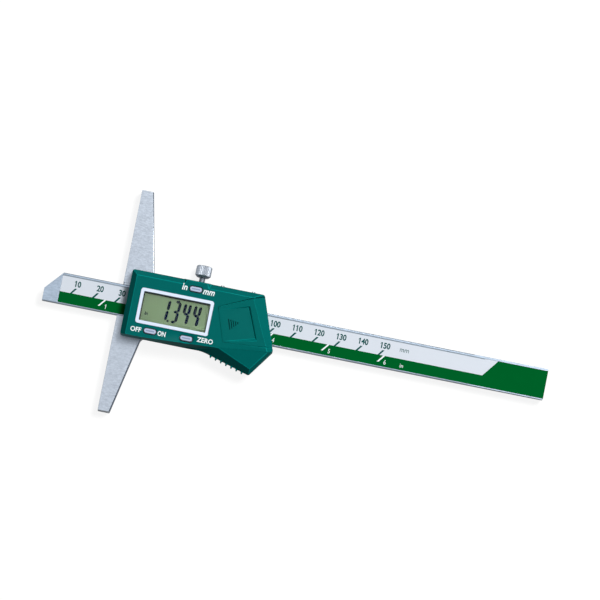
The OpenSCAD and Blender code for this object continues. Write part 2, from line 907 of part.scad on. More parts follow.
module push_button(p) {
    color([0.7, 0.73, 0.82])
    translate(at(p, 0)) {
        slab(flange_top - flange_t, flange_top) pill(flange_w, flange_h);
        slab(flange_top - eps, face_z + button_out - button_chamfer) pill(button_w, button_h);
        translate([0, 0, face_z + button_out - button_chamfer])
            pill_taper(button_w, button_h, -button_chamfer, button_chamfer);
        slab(stem_z, flange_top) circle(d = stem_d);
    }
}

module unit_button() {
    push_button(unit_at);
}

module power_button() {
    push_button(power_at);
}

module zero_button() {
    push_button(zero_at);
}

module battery() {
    can_r = battery_d / 2;
    cap_r = can_r - 0.9;
    color([0.75, 0.76, 0.78])
    translate(at(battery_at, battery_z)) rotate_extrude()
        polygon([
            [0, 0], [cap_r - 0.2, 0], [cap_r, 0.2], [cap_r, 0.5], [can_r - 0.4, 0.6],
            [can_r, 1], [can_r, battery_h - 0.4], [can_r - 0.15, battery_h - 0.1],
            [can_r - 0.4, battery_h], [0, battery_h]
        ]);
}

module battery_spring() {
    color([0.8, 0.7, 0.4])
    translate(at(battery_at, board_top)) rotate_extrude()
        polygon([
            [spring_hole_r, spring_h - spring_t], [spring_r - 0.1, 0],
            [spring_r, spring_t], [spring_hole_r + 0.1, spring_h]
        ]);
}

module battery_clip() {
    color([0.8, 0.7, 0.4])
    translate(at(battery_at, board_top)) {
        block([-clip_r - clip_t, -clip_w / 2, 0], [-clip_r, clip_w / 2, cavity_z - board_top - 0.2]);
        block([-clip_r - clip_foot, -clip_w / 2, 0], [-clip_r, clip_w / 2, clip_t]);
    }
}

// Thumb recess in the battery cover, deepest at its rear end, with walls that slope
recess_in = 2.1;
recess_len = 11.9;
recess_w = 14.3;
recess_v = cover_v - 0.65;
recess_depth = 0.8;
recess_low_spread = 8;
recess_end_lean = 4.7;
recess_low_slope = 35;
recess_high_slope = 62;
recess_end_slope = 55;
arrow_grooves = 5;
arrow_in = 1.5;
arrow_w = 5;
arrow_len = 4.3;
arrow_depth = 0.35;

module recess_floor_frame() {
    along_slide() translate([cover_u + recess_in, recess_v, face_z])
        rotate([0, atan(recess_depth / recess_len), 0]) children();
}

// Everything above a wall that slopes down and inwards from the line from a to b, with the recess on its left
module recess_wall(a, b, slope) {
    inward = unit([a.y - b.y, b.x - a.x]);
    cut_above(at(a, face_z), at(b, face_z), at(a + inward, face_z - tan(slope)));
}

module thumb_recess() {
    high_start = [cover_u + recess_in, recess_v + recess_w / 2];
    low_start = high_start - [0, recess_w];
    high_end = high_start + [recess_len, 0];
    low_end = [
        high_end.x + recess_w * tan(recess_end_lean),
        low_start.y - recess_len * tan(recess_low_spread)
    ];
    intersection() {
        recess_floor_frame() translate([-1, -reach, 0]) cube([reach, 2 * reach, reach]);
        along_slide() intersection() {
            recess_wall(low_start, low_end, recess_low_slope);
            recess_wall(low_end, high_end, recess_end_slope);
            recess_wall(high_end, high_start, recess_high_slope);
        }
    }
}

// Arrow of shrinking grooves that shows which way the cover slides
module cover_arrow() {
    step = arrow_len / (arrow_grooves - 0.5);
    recess_floor_frame() for (i = [0:arrow_grooves - 1]) {
        w = arrow_w * (1 - i / arrow_grooves);
        translate([arrow_in + i * step, 0.2 - w / 2, -arrow_depth]) cube([step / 2, w, 2 * arrow_depth]);
    }
}

module battery_cover() {
    color([0, 0.42, 0.4]) {
        difference() {
            union() {
                intersection() {
                    housing_form();
                    cover_space(0);
                }
                cover_tongue(0, tongue_in);
            }
            thumb_recess();
            cover_arrow();
        }
    }
}

base_frame();
gib_strip();
gib_screws();
lock_screw();
beam();
scale_circuit();
scale_label();
stop_screw();
housing();
module_screws();
display_bezel();
display_window();
display_holder();
lcd_panel();
zebra_strips();
circuit_board();
processor_cap();
tact_switches();
unit_button();
power_button();
zero_button();
battery();
battery_spring();
battery_clip();
battery_cover();
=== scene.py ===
import math

import bpy
from mathutils import Matrix, Vector


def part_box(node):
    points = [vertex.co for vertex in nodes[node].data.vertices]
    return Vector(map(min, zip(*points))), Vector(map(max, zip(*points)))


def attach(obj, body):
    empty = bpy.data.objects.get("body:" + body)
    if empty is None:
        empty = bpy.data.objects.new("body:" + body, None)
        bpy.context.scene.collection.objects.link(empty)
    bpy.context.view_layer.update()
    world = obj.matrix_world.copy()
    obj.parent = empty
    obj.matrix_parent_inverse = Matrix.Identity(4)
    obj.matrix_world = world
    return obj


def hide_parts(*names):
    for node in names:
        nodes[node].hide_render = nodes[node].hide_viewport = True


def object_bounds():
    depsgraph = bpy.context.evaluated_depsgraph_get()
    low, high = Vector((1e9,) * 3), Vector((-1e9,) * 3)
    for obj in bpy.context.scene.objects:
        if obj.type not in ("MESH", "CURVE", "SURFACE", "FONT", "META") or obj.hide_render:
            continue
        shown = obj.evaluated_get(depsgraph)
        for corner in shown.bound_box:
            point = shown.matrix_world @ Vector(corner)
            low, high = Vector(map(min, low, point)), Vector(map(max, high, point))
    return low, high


mm = 0.001

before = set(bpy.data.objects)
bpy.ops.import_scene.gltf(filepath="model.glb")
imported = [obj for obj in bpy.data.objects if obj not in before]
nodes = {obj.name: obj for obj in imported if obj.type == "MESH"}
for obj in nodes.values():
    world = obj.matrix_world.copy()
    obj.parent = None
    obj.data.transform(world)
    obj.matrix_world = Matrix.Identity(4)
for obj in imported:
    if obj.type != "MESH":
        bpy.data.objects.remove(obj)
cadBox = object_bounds()
print("frame loaded:", len(nodes), "nodes")


# Selecting and settling

def deselectAll():
    if bpy.context.object and bpy.context.object.mode != "OBJECT":
        bpy.ops.object.mode_set(mode="OBJECT")
    bpy.ops.object.select_all(action="DESELECT")


def makeActive(piece):
    deselectAll()
    piece.select_set(True)
    bpy.context.view_layer.objects.active = piece


def settle(piece):
    # the place, turn and size of a piece go into its mesh
    makeActive(piece)
    bpy.ops.object.transform_apply(location=True, rotation=True, scale=True)


def applyModifiers(piece):
    makeActive(piece)
    for modifier in list(piece.modifiers):
        bpy.ops.object.modifier_apply(modifier=modifier.name)


def duplicateOf(piece, name):
    twin = piece.copy()
    twin.data = piece.data.copy()
    twin.name = name
    bpy.context.scene.collection.objects.link(twin)
    return twin


def joinPieces(pieces, name):
    makeActive(pieces[0])
    for piece in pieces:
        piece.select_set(True)
    bpy.ops.object.join()
    joined = bpy.context.object
    joined.name = name
    return joined


def meshPiece(name, points, faces):
    mesh = bpy.data.meshes.new(name)
    mesh.from_pydata(points, [], faces)
    piece = bpy.data.objects.new(name, mesh)
    bpy.context.scene.collection.objects.link(piece)
    return piece


def finishPiece(piece, body, material, standsFor=()):
    piece.data.materials.clear()
    piece.data.materials.append(material)
    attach(piece, body)
    if standsFor:
        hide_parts(*standsFor)


# Node groups that several materials share

surface = {
    "specksFiner": 4,            # specks of ground steel against its streaks
    "steelSwing": (-0.08, 0.1),  # how far the roughness goes either side of its mean
    "plasticSwing": (-0.06, 0.08),
    "steelBump": (0.12, 0.01 * mm),  # strength and depth
    "plasticBump": 0.35,
}


def newGroup(name, inputs, outputs):
    group = bpy.data.node_groups.new(name, "ShaderNodeTree")
    for label, kind, value in inputs:
        socket = group.interface.new_socket(name=label, in_out="INPUT", socket_type=kind)
        if value is not None:
            socket.default_value = value
    for label, kind in outputs:
        group.interface.new_socket(name=label, in_out="OUTPUT", socket_type=kind)
    return group, group.nodes.new("NodeGroupInput"), group.nodes.new("NodeGroupOutput")


def makeGroundLines():
    # fine streaks that a grinding wheel leaves, and the specks between them
    group, given, made = newGroup(
        "groundLines",
        [("Position", "NodeSocketVector", None), ("Run", "NodeSocketVector", (1, 1, 1)),
         ("Fineness", "NodeSocketFloat", 1000)],
        [("Streaks", "NodeSocketFloat"), ("Specks", "NodeSocketFloat")])
    stretch = group.nodes.new("ShaderNodeVectorMath")
    stretch.operation = "MULTIPLY"
    streaks = group.nodes.new("ShaderNodeTexNoise")
    streaks.inputs["Detail"].default_value = 3
    specks = group.nodes.new("ShaderNodeTexNoise")
    specks.inputs["Detail"].default_value = 2
    link = group.links.new
    link(given.outputs["Position"], stretch.inputs[0])
    link(given.outputs["Run"], stretch.inputs[1])
    link(stretch.outputs[0], streaks.inputs["Vector"])
    link(given.outputs["Fineness"], streaks.inputs["Scale"])
    finer = group.nodes.new("ShaderNodeMath")
    finer.operation = "MULTIPLY"
    finer.inputs[1].default_value = surface["specksFiner"]
    link(given.outputs["Fineness"], finer.inputs[0])
    link(given.outputs["Position"], specks.inputs["Vector"])
    link(finer.outputs[0], specks.inputs["Scale"])
    link(streaks.outputs[0], made.inputs["Streaks"])
    link(specks.outputs[0], made.inputs["Specks"])
    return group


def makeMouldGrain():
    # fine satin texture of a spark-eroded mould, with a slow mottle
    group, given, made = newGroup(
        "mouldGrain",
        [("Position", "NodeSocketVector", None), ("Grain", "NodeSocketFloat", 4000),
         ("Mottle", "NodeSocketFloat", 300)],
        [("Height", "NodeSocketFloat"), ("Tone", "NodeSocketFloat")])
    grain = group.nodes.new("ShaderNodeTexNoise")
    grain.inputs["Detail"].default_value = 2
    mottle = group.nodes.new("ShaderNodeTexNoise")
    mottle.inputs["Detail"].default_value = 3
    link = group.links.new
    link(given.outputs["Position"], grain.inputs["Vector"])
    link(given.outputs["Grain"], grain.inputs["Scale"])
    link(given.outputs["Position"], mottle.inputs["Vector"])
    link(given.outputs["Mottle"], mottle.inputs["Scale"])
    link(grain.outputs[0], made.inputs["Height"])
    link(mottle.outputs[0], made.inputs["Tone"])
    return group


def makeToneShift():
    # a colour made lighter and darker by a mask
    group, given, made = newGroup(
        "toneShift",
        [("Color", "NodeSocketColor", (0.8, 0.8, 0.8, 1)), ("Mask", "NodeSocketFloat", 0.5),
         ("Amount", "NodeSocketFloat", 0.1)],
        [("Color", "NodeSocketColor")])
    centred = group.nodes.new("ShaderNodeMath")
    centred.operation = "SUBTRACT"
    centred.inputs[1].default_value = 0.5
    swing = group.nodes.new("ShaderNodeMath")
    swing.operation = "MULTIPLY_ADD"
    swing.inputs[2].default_value = 1
    shade = group.nodes.new("ShaderNodeHueSaturation")
    link = group.links.new
    link(given.outputs["Mask"], centred.inputs[0])
    link(centred.outputs[0], swing.inputs[0])
    link(given.outputs["Amount"], swing.inputs[1])
    link(swing.outputs[0], shade.inputs["Value"])
    link(given.outputs["Color"], shade.inputs["Color"])
    link(shade.outputs[0], made.inputs["Color"])
    return group


groundLines = makeGroundLines()
mouldGrain = makeMouldGrain()
toneShift = makeToneShift()


# Materials

def startMaterial(name, color, metallic=0, roughness=0.5):
    material = bpy.data.materials.new(name)
    material.use_nodes = True
    material.diffuse_color = (*color, 1)
    shader = material.node_tree.nodes["Principled BSDF"]
    shader.inputs["Base Color"].default_value = (*color, 1)
    shader.inputs["Metallic"].default_value = metallic
    shader.inputs["Roughness"].default_value = roughness
    return material, shader


def placeGroup(material, group, **values):
    node = material.node_tree.nodes.new("ShaderNodeGroup")
    node.node_tree = group
    for label, value in values.items():
        node.inputs[label].default_value = value
    return node


def objectPosition(material):
    return material.node_tree.nodes.new("ShaderNodeTexCoord").outputs["Object"]


def rangeNode(material, source, low, high):
    node = material.node_tree.nodes.new("ShaderNodeMapRange")
    node.inputs["To Min"].default_value = low
    node.inputs["To Max"].default_value = high
    material.node_tree.links.new(source, node.inputs["Value"])
    return node.outputs[0]


def addBump(material, shader, height, strength, depth):
    bump = material.node_tree.nodes.new("ShaderNodeBump")
    bump.inputs["Strength"].default_value = strength
    bump.inputs["Distance"].default_value = depth
    material.node_tree.links.new(height, bump.inputs["Height"])
    material.node_tree.links.new(bump.outputs[0], shader.inputs["Normal"])


def edgeShade(material, shade, tone):
    # the broken edges' strips get painted light: a painted highlight, or painted shade where the tone is
    # below zero
    edges = material.node_tree.nodes.new("ShaderNodeAttribute")
    edges.attribute_name = "edgeBreak"
    edgeLit = placeGroup(material, toneShift, Amount=tone)
    material.node_tree.links.new(shade, edgeLit.inputs["Color"])
    material.node_tree.links.new(rangeNode(material, edges.outputs["Fac"], 0.5, 1), edgeLit.inputs["Mask"])
    return edgeLit.outputs[0]


def groundSteel(name, color, run, fineness=900, roughness=0.36, metallic=1.0, contrast=0.16, edgeLightAmount=0):
    # run stretches the streaks along the axis with the smallest value
    material, shader = startMaterial(name, color, metallic, roughness)
    link = material.node_tree.links.new
    lines = placeGroup(material, groundLines, Run=run, Fineness=fineness)
    link(objectPosition(material), lines.inputs["Position"])
    streaked = placeGroup(material, toneShift, Color=(*color, 1), Amount=contrast)
    link(lines.outputs["Streaks"], streaked.inputs["Mask"])
    specked = placeGroup(material, toneShift, Amount=contrast)
    link(streaked.outputs[0], specked.inputs["Color"])
    link(lines.outputs["Specks"], specked.inputs["Mask"])
    shade = edgeShade(material, specked.outputs[0], edgeLightAmount) if edgeLightAmount else specked.outputs[0]
    link(shade, shader.inputs["Base Color"])
    less, more = surface["steelSwing"]
    link(rangeNode(material, lines.outputs["Streaks"], roughness + less, roughness + more),
         shader.inputs["Roughness"])
    addBump(material, shader, lines.outputs["Streaks"], *surface["steelBump"])
    return material


def mouldedPlastic(name, color, grain=3500, mottle=420, roughness=0.45, contrast=0.12, depth=0.02 * mm,
                   gloss=0.25, edgeLightAmount=0):
    material, shader = startMaterial(name, color, 0, roughness)
    shader.inputs["Specular IOR Level"].default_value = gloss
    link = material.node_tree.links.new
    texture = placeGroup(material, mouldGrain, Grain=grain, Mottle=mottle)
    link(objectPosition(material), texture.inputs["Position"])
    toned = placeGroup(material, toneShift, Color=(*color, 1), Amount=contrast)
    link(texture.outputs["Tone"], toned.inputs["Mask"])
    shade = edgeShade(material, toned.outputs[0], edgeLightAmount) if edgeLightAmount else toned.outputs[0]
    link(shade, shader.inputs["Base Color"])
    less, more = surface["plasticSwing"]
    link(rangeNode(material, texture.outputs["Height"], roughness + less, roughness + more),
         shader.inputs["Roughness"])
    addBump(material, shader, texture.outputs["Height"], surface["plasticBump"], depth)
    return material


baseSteel = groundSteel("baseSteel", (0.345, 0.38, 0.437), (1, 3, 3), 640, 0.32, contrast=0.34)
beamSteel = groundSteel("beamSteel", (0.283, 0.337, 0.412), (1, 3, 3), 640, 0.32, contrast=0.34)
knobSteel = groundSteel("knobSteel", (0.38, 0.41, 0.46), (8, 1, 8), roughness=0.5, contrast=0.1)
screwSteel = groundSteel("screwSteel", (0.36, 0.38, 0.42), (3, 3, 3), roughness=0.34)
cellSteel = groundSteel("cellSteel", (0.38, 0.39, 0.42), (6, 6, 1), roughness=0.3, contrast=0.08)
gibSteel = groundSteel("gibSteel", (0.40, 0.44, 0.50), (1, 10, 10), roughness=0.35)
contactBrass = groundSteel("contactBrass", (0.72, 0.55, 0.26), (4, 4, 4), roughness=0.28, contrast=0.08)

# the case's broken edges are lighter: a painted highlight
caseGreen = mouldedPlastic("caseGreen", (0.0, 0.129, 0.122), roughness=0.4, gloss=0.02,
                           edgeLightAmount=1.6)
labelFilm = mouldedPlastic("labelFilm", (0.69, 0.74, 0.83), 2500, 350, 0.38, 0.03, 0.004 * mm)
bandInk = mouldedPlastic("bandInk", (0.0, 0.112, 0.021), 3000, 250, 0.45, 0.08, 0.003 * mm, gloss=0.0)
figureInk = mouldedPlastic("figureInk", (0.0, 0.082, 0.078), 3000, 300, 0.5, 0.08, 0.003 * mm, gloss=0.02)
# painted shade for the arrow's grooves: a darker copy of the case's green
grooveShade = mouldedPlastic("grooveShade", (0.0, 0.035, 0.033), 3000, 300, 0.5, 0.08, 0.003 * mm, gloss=0.02)
whiteInk = mouldedPlastic("whiteInk", (0.91, 0.96, 1.0), 3000, 300, 0.5, 0.05, 0.004 * mm)
# the frame's broken edges are darker (amount below zero): painted shade
silverPaint = groundSteel("silverPaint", (0.61, 0.68, 0.83), (1, 1, 1), 3000, 0.34, 0.35, 0.06, -1.3)
keySilver = groundSteel("keySilver", (0.40, 0.45, 0.60), (1, 1, 1), 3000, 0.36, 0.35, 0.06)
# a darker copy of the key's silver: painted shade along the cap's middle
keyShadeStripe = groundSteel("keyShadeStripe", (0.20, 0.255, 0.37), (1, 1, 1), 3000, 0.36, 0.35, 0.06)
# grey for the painted shade of the groove along the label's upper edge
ruleInk = mouldedPlastic("ruleInk", (0.32, 0.38, 0.44), 3000, 300, 0.5, 0.08, 0.003 * mm, gloss=0.02)
holderWhite = mouldedPlastic("holderWhite", (0.75, 0.75, 0.72), roughness=0.5)
zebraRubber = mouldedPlastic("zebraRubber", (0.03, 0.03, 0.035), roughness=0.6)
boardGreen = mouldedPlastic("boardGreen", (0.01, 0.10, 0.03), 5000, 900, 0.3, 0.2)
# black resin of the chip and switches, and also the painted shadow in the key gaps and round the display
blackResinAndShade = mouldedPlastic("blackResinAndShade", (0.012, 0.012, 0.014), roughness=0.35)
lcdInk = mouldedPlastic("lcdInk", (0.002, 0.004, 0.02), 3000, 300, 0.5, 0.05, 0.001 * mm, gloss=0.0)


lcdTone = (0.142, 0.207, 0.107)


def makeLcdGlass():
    # grey-green reflector, a little lighter towards one end
    low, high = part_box("lcd_panel")
    material, shader = startMaterial("lcdGlass", lcdTone, 0, 0.32)
    link = material.node_tree.links.new
    axes = material.node_tree.nodes.new("ShaderNodeSeparateXYZ")
    link(objectPosition(material), axes.inputs[0])
    along = material.node_tree.nodes.new("ShaderNodeMapRange")
    along.inputs["From Min"].default_value = low.x
    along.inputs["From Max"].default_value = high.x
    link(axes.outputs["X"], along.inputs["Value"])
    toned = placeGroup(material, toneShift, Color=(*lcdTone, 1), Amount=0.1)
    link(along.outputs[0], toned.inputs["Mask"])
    grain = placeGroup(material, mouldGrain, Grain=5000, Mottle=600)
    link(objectPosition(material), grain.inputs["Position"])
    speckled = placeGroup(material, toneShift, Amount=0.06)
    link(toned.outputs[0], speckled.inputs["Color"])
    link(grain.outputs["Tone"], speckled.inputs["Mask"])
    link(speckled.outputs[0], shader.inputs["Base Color"])
    return material


def makeClearWindow():
    material, shader = startMaterial("clearWindow", (0.97, 1.0, 0.97), 0, 0.03)
    shader.inputs["Transmission Weight"].default_value = 1
    shader.inputs["IOR"].default_value = 1.2
    smudges = placeGroup(material, mouldGrain, Grain=1500, Mottle=90)
    material.node_tree.links.new(objectPosition(material), smudges.inputs["Position"])
    material.node_tree.links.new(
        rangeNode(material, smudges.outputs["Tone"], 0.01, 0.05), shader.inputs["Roughness"])
    return material


lcdGlass = makeLcdGlass()
clearWindow = makeClearWindow()
print("materials made:", len(bpy.data.materials))


# Camera, from what the photograph shows

view = {
    "photoSize": 600,           # px, both ways
    "pxPerMm": 2.24,            # from the printed millimetres
    "originPx": (120.0, 299.4),  # the measuring face's centre, level with the front of the base
    "axisRun": (0.981, 0.196),  # the beam's direction in the picture, x to the right and y down
    "tilt": 8,                  # degrees that the camera leans towards the thumb grip
    "distance": 3000,           # mm
    "clip": (0.05, 20),         # m
}


def addCamera():
    tilt = math.radians(view["tilt"])
    across = Vector((0, math.cos(tilt), math.sin(tilt)))
    back = Vector((0, -math.sin(tilt), math.cos(tilt)))
    run, drop = view["axisRun"]
    right = (Vector((run, 0, 0)) + drop * across).normalized()
    up = back.cross(right)
    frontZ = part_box("base_frame")[1].z
    half = view["photoSize"] / 2
    offset = (right * (half - view["originPx"][0]) - up * (half - view["originPx"][1])) / view["pxPerMm"] * mm
    distance = view["distance"] * mm
    bpy.ops.object.camera_add()
    camera = bpy.context.object
    turn = Matrix((right, up, back)).transposed().to_4x4()
    camera.matrix_world = Matrix.Translation(Vector((0, 0, frontZ)) + offset + back * distance) @ turn
    shown = view["photoSize"] / view["pxPerMm"]
    camera.data.lens = camera.data.sensor_width * view["distance"] / shown
    camera.data.clip_start, camera.data.clip_end = view["clip"]
    bpy.context.scene.camera = camera


deselectAll()
addCamera()
print("camera placed")


# Floor, world and lamps

studio = {
    "floorSize": 6,          # m
    "floorTone": 0.18,       # how much light the paper gives back
    "floorGlow": 0.87,       # the rest, up to white, for the camera alone
    "worldLight": 0.14,
    "worldTint": (0.95, 0.98, 1.0),
    "cardTint": (0.10, 0.15, 0.22),
    "cardFrom": 0.62,        # share of X in the direction where the card starts and is full
    "cardTo": 0.85,
    "floorSeen": {"Is Camera Ray": 1, "Is Glossy Ray": 0.3, "Is Transmission Ray": 1},
    "worldSeen": {"Is Camera Ray": 1, "Is Glossy Ray": 1, "Is Transmission Ray": 1},
    # each lamp: place in mm from the gauge's middle, side in mm, watts, colour
    "lamps": {
        "keySoftbox": ((800, 880, 1850), 900, 51, (1.0, 1.0, 0.98)),
    },
}


def seenShare(tree, shares):
    # how much of the bright background each kind of ray sees
    path = tree.nodes.new("ShaderNodeLightPath")
    seen = None
    for ray, share in shares.items():
        part = tree.nodes.new("ShaderNodeMath")
        part.operation = "MULTIPLY"
        part.inputs[1].default_value = share
        tree.links.new(path.outputs[ray], part.inputs[0])
        if seen is None:
            seen = part.outputs[0]
            continue
        most = tree.nodes.new("ShaderNodeMath")
        most.operation = "MAXIMUM"
        tree.links.new(seen, most.inputs[0])
        tree.links.new(part.outputs[0], most.inputs[1])
        seen = most.outputs[0]
    return seen


def addFloor():
    low, high = cadBox
    bpy.ops.mesh.primitive_plane_add(size=studio["floorSize"], location=((low.x + high.x) / 2, 0, low.z))
    floor = bpy.context.object
    floor.name = "floor"
    settle(floor)
    tone = studio["floorTone"]
    material, shader = startMaterial("floorPaper", (tone, tone, tone), 0, 0.9)
    shader.inputs["Specular IOR Level"].default_value = 0.1
    seen = seenShare(material.node_tree, studio["floorSeen"])
    material.node_tree.links.new(
        rangeNode(material, seen, 0, studio["floorGlow"]), shader.inputs["Emission Strength"])
    shader.inputs["Emission Color"].default_value = (1, 1, 1, 1)
    floor.data.materials.append(material)


def sideCard(tree):
    # metal edges that face along the beam reflect a dark card there
    path = tree.nodes.new("ShaderNodeLightPath")
    place = tree.nodes.new("ShaderNodeTexCoord")
    axes = tree.nodes.new("ShaderNodeSeparateXYZ")
    tree.links.new(place.outputs["Generated"], axes.inputs[0])
    low, high = studio["cardFrom"], studio["cardTo"]
    card = tree.nodes.new("ShaderNodeMapRange")
    card.inputs["From Min"].default_value = low
    card.inputs["From Max"].default_value = high
    tree.links.new(axes.outputs["X"], card.inputs["Value"])
    shown = tree.nodes.new("ShaderNodeMath")
    shown.operation = "MULTIPLY"
    tree.links.new(card.outputs[0], shown.inputs[0])
    tree.links.new(path.outputs["Is Glossy Ray"], shown.inputs[1])
    mixed = tree.nodes.new("ShaderNodeMix")
    mixed.data_type = "RGBA"
    mixed.inputs["A"].default_value = (*studio["worldTint"], 1)
    mixed.inputs["B"].default_value = (*studio["cardTint"], 1)
    tree.links.new(shown.outputs[0], mixed.inputs["Factor"])
    return mixed.outputs["Result"]


def addWorld():
    world = bpy.data.worlds.new("studio")
    bpy.context.scene.world = world
    world.use_nodes = True
    tree = world.node_tree
    background = tree.nodes["Background"]
    seen = seenShare(tree, studio["worldSeen"])
    tree.links.new(sideCard(tree), background.inputs["Color"])
    strength = tree.nodes.new("ShaderNodeMapRange")
    strength.inputs["To Min"].default_value = studio["worldLight"]
    strength.inputs["To Max"].default_value = 1
    tree.links.new(seen, strength.inputs["Value"])
    tree.links.new(strength.outputs[0], background.inputs["Strength"])


def addLamps():
    low, high = cadBox
    middle = Vector(((low.x + high.x) / 2, 0, low.z))
    for name, (place, side, watts, color) in studio["lamps"].items():
        spot = middle + Vector(place) * mm
        bpy.ops.object.light_add(type="AREA", location=spot)
        lamp = bpy.context.object
        lamp.name = name
        lamp.rotation_euler = (spot - middle).to_track_quat("Z", "Y").to_euler()
        lamp.data.size = side * mm
        lamp.data.energy = watts
        lamp.data.color = color


deselectAll()
addFloor()
addWorld()
addLamps()
bpy.context.scene.view_settings.view_transform = "Standard"
print("studio set")


# CAD nodes whose form stays

cadFinishes = {
    "gib_strip": gibSteel,
    "scale_circuit": boardGreen,
    "scale_label": labelFilm,
    "display_window": clearWindow,
    "display_holder": holderWhite,
    "lcd_panel": lcdGlass,
    "zebra_strips": zebraRubber,
    "circuit_board": boardGreen,
    "processor_cap": blackResinAndShade,
    "tact_switches": blackResinAndShade,
    "battery_spring": contactBrass,
    "battery_clip": contactBrass,
}

for nodeName, finish in cadFinishes.items():
    slots = nodes[nodeName].material_slots
    for slot in slots:
        slot.material = finish
print("finishes on", len(cadFinishes), "nodes")


# Pieces whose edges are broken, as machining and moulding leave them

softEdges = {
    # node: new name, body, slot, material, widths of the edge breaks in mm
    "base_frame": ("base_and_slider", "gauge_body", "base_steel", baseSteel, 0.12),
    "beam": ("depth_beam_blade", "depth_beam", "beam_steel", beamSteel, 0.08),
    "housing": ("case_shell", "gauge_body", "housing_green", caseGreen, 0.22),
    "battery_cover": ("cell_cover", "battery_door", "housing_green", caseGreen, 0.12),
    "display_bezel": ("display_frame", "gauge_body", "bezel_silver", silverPaint, 0.25),
    "unit_button": ("unit_key_cap", "unit_key", "button_silver", keySilver, 0.12),
    "power_button": ("power_key_cap", "power_key", "button_silver", keySilver, 0.12),
    "zero_button": ("zero_key_cap", "zero_key", "button_silver", keySilver, 0.12),
    "lock_screw": ("lock_knob_knurled", "lock_knob", "knob_steel", knobSteel, 0.05),
    "gib_screws": ("gib_screw_pair", "gauge_body", "screw_steel", screwSteel, 0.05),
    "stop_screw": ("beam_stop_screw", "depth_beam", "screw_steel", screwSteel, 0.06),
    "module_screws": ("case_screws", "gauge_body", "screw_steel", screwSteel, 0.05),
    "battery": ("button_cell", "gauge_body", "battery_steel", cellSteel, 0.05),
}


edgeRules = {
    "weld": 0.002,           # mm: nearer points become one
    "flat": 0.4,             # degrees: faces that differ less become one
    "sharp": 22,             # degrees: edges beyond this are broken
    "smooth": 28,            # degrees: edges below this are shaded smooth
    "shortest": 4,           # least length of a broken edge, in widths of the break
}


def mergedCopy(nodeName, name):
    # loose triangles become one clean skin, with flat faces whole
    piece = duplicateOf(nodes[nodeName], name)
    piece.parent = None
    for key in list(piece.keys()):
        del piece[key]
    piece.hide_viewport = False
    piece.hide_render = False
    piece.hide_set(False)
    makeActive(piece)
    if piece.data.has_custom_normals:
        bpy.ops.mesh.customdata_custom_splitnormals_clear()
    bpy.ops.object.mode_set(mode="EDIT")
    bpy.ops.mesh.select_all(action="SELECT")
    bpy.ops.mesh.remove_doubles(threshold=edgeRules["weld"] * mm)
    bpy.ops.mesh.dissolve_limited(angle_limit=math.radians(edgeRules["flat"]))
    bpy.ops.mesh.select_all(action="DESELECT")
    bpy.ops.object.mode_set(mode="OBJECT")
    return piece


def markLongEdges(piece, shortest):
    # an edge break fits on an edge that is longer than the break is wide
    makeActive(piece)
    bpy.ops.object.mode_set(mode="EDIT")
    bpy.ops.mesh.select_mode(type="EDGE")
    bpy.ops.mesh.select_all(action="DESELECT")
    bpy.ops.mesh.edges_select_sharp(sharpness=math.radians(edgeRules["sharp"]))
    bpy.ops.object.mode_set(mode="OBJECT")
    corners = piece.data.vertices
    weights = []
    for edge in piece.data.edges:
        a, b = edge.vertices
        long = (corners[a].co - corners[b].co).length > shortest * mm
        weights.append(1.0 if edge.select and long else 0.0)
    piece.data.attributes.new("bevel_weight_edge", "FLOAT", "EDGE").data.foreach_set("value", weights)


def breakEdges(piece, width, rounds=2):
    markLongEdges(piece, edgeRules["shortest"] * width)
    bpy.ops.object.shade_smooth_by_angle(angle=math.radians(edgeRules["smooth"]))
    bevel = piece.modifiers.new("edgeBreak", "BEVEL")
    bevel.harden_normals = True
    bevel.limit_method = "WEIGHT"
    bevel.width = width * mm
    bevel.segments = rounds
    bevel.miter_outer = "MITER_ARC"
    bevel.use_clamp_overlap = False
    # the strips come out on the second slot, and the materials find them by an attribute
    while len(piece.data.materials) < 2:
        piece.data.materials.append(None)
    bevel.material = 1
    applyModifiers(piece)
    strips = [polygon.material_index for polygon in piece.data.polygons]
    piece.data.attributes.new("edgeBreak", "FLOAT", "FACE").data.foreach_set("value", strips)
    piece.data.polygons.foreach_set("material_index", [0] * len(strips))
    return sum(strips)


for nodeName, (name, body, slot, material, width) in softEdges.items():
    piece = mergedCopy(nodeName, name)
    strips = breakEdges(piece, width)
    finishPiece(piece, body, material, [nodeName])
    print("edges broken:", name, len(piece.data.polygons), "faces,", strips, "of them strips")


# Painted shade in the grooves of the cover's arrow: their bottoms get a darker copy of the case's green

arrowShade = {
    "floorTilt": 3.85,       # degrees, slope of the recess's floor
    "slack": 0.0008,         # how near a face comes to that slope, as a cosine
    "facing": 0.9999,        # the same for the grooves' own bottoms
    "deeper": (0.25, 0.45),  # mm below the floor, between which those lie
    "lift": 0.01,
    "film": 0.02,
}


